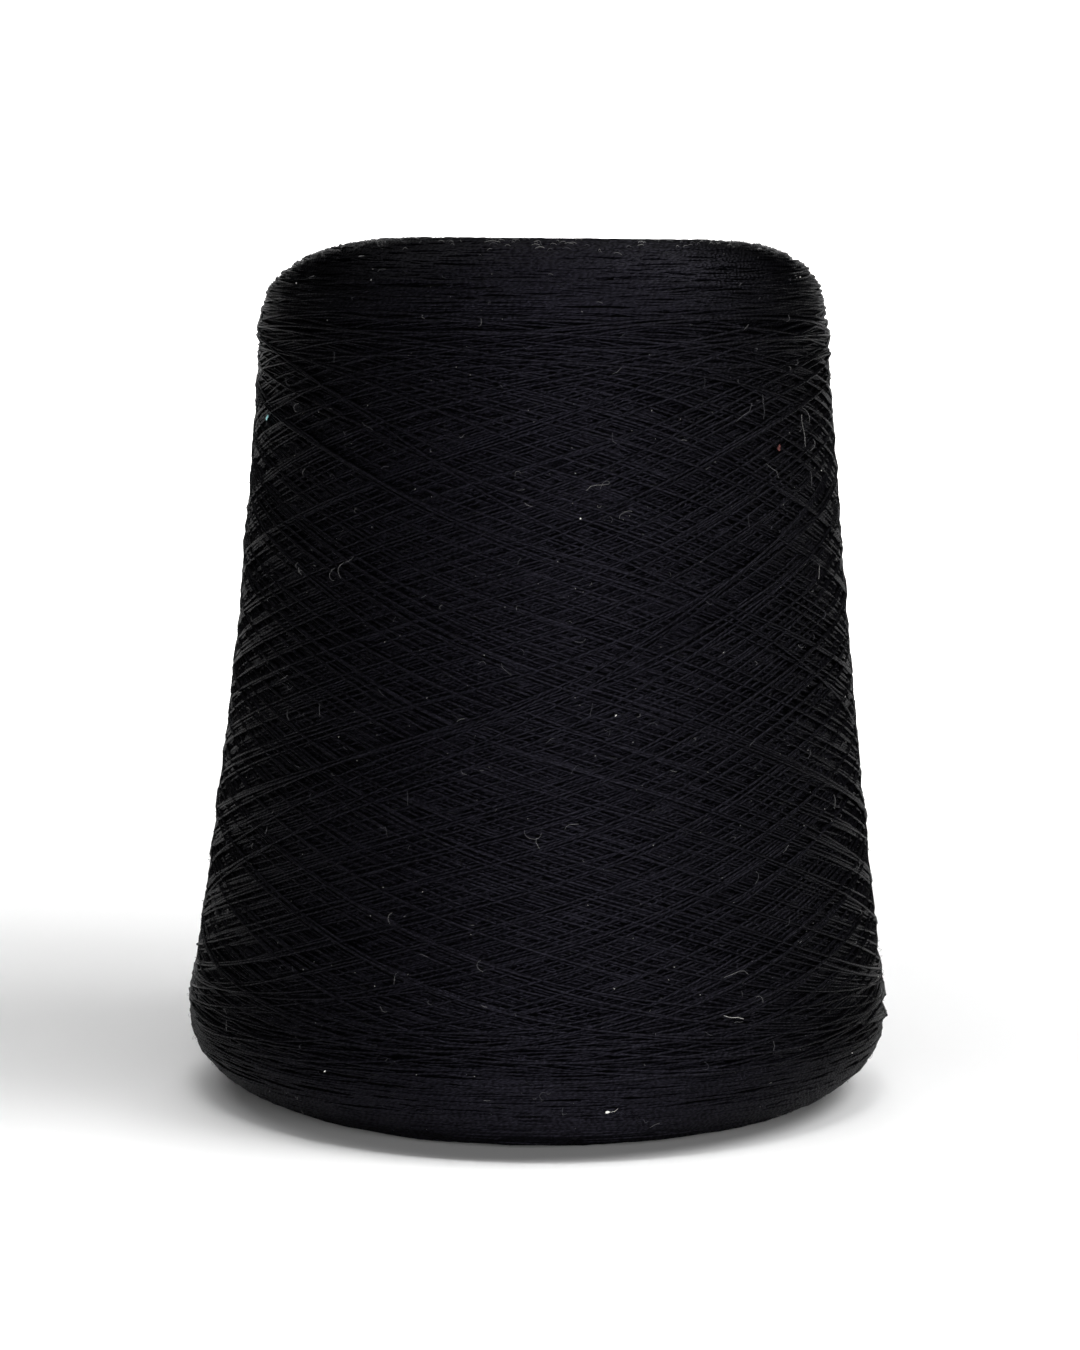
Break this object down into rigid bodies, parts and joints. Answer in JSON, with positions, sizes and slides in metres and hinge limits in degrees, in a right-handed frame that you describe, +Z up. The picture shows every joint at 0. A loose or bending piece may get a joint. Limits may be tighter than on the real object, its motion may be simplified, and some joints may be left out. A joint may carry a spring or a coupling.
{
  "type": "cone of yarn",
  "caption": "Tapered package of cross-wound black yarn with round shoulders and a tapered hole through it; stands on its wide end.",
  "frame": {"origin": "centre of the bounding box's bottom face, on the winding's axis, where the wide end stands on the table", "axes": "+Z up the winding's axis towards the narrow end, -Y towards the picture's camera, +X to its right"},
  "size_m": [0.1412, 0.1408, 0.17],
  "materials": {
    "black_yarn": "matt plied yarn, cross-wound, with a few fibres of lint"
  },
  "bodies": {
    "root": {"yarn_cone": "black_yarn"}
  },
  "joints": []
}
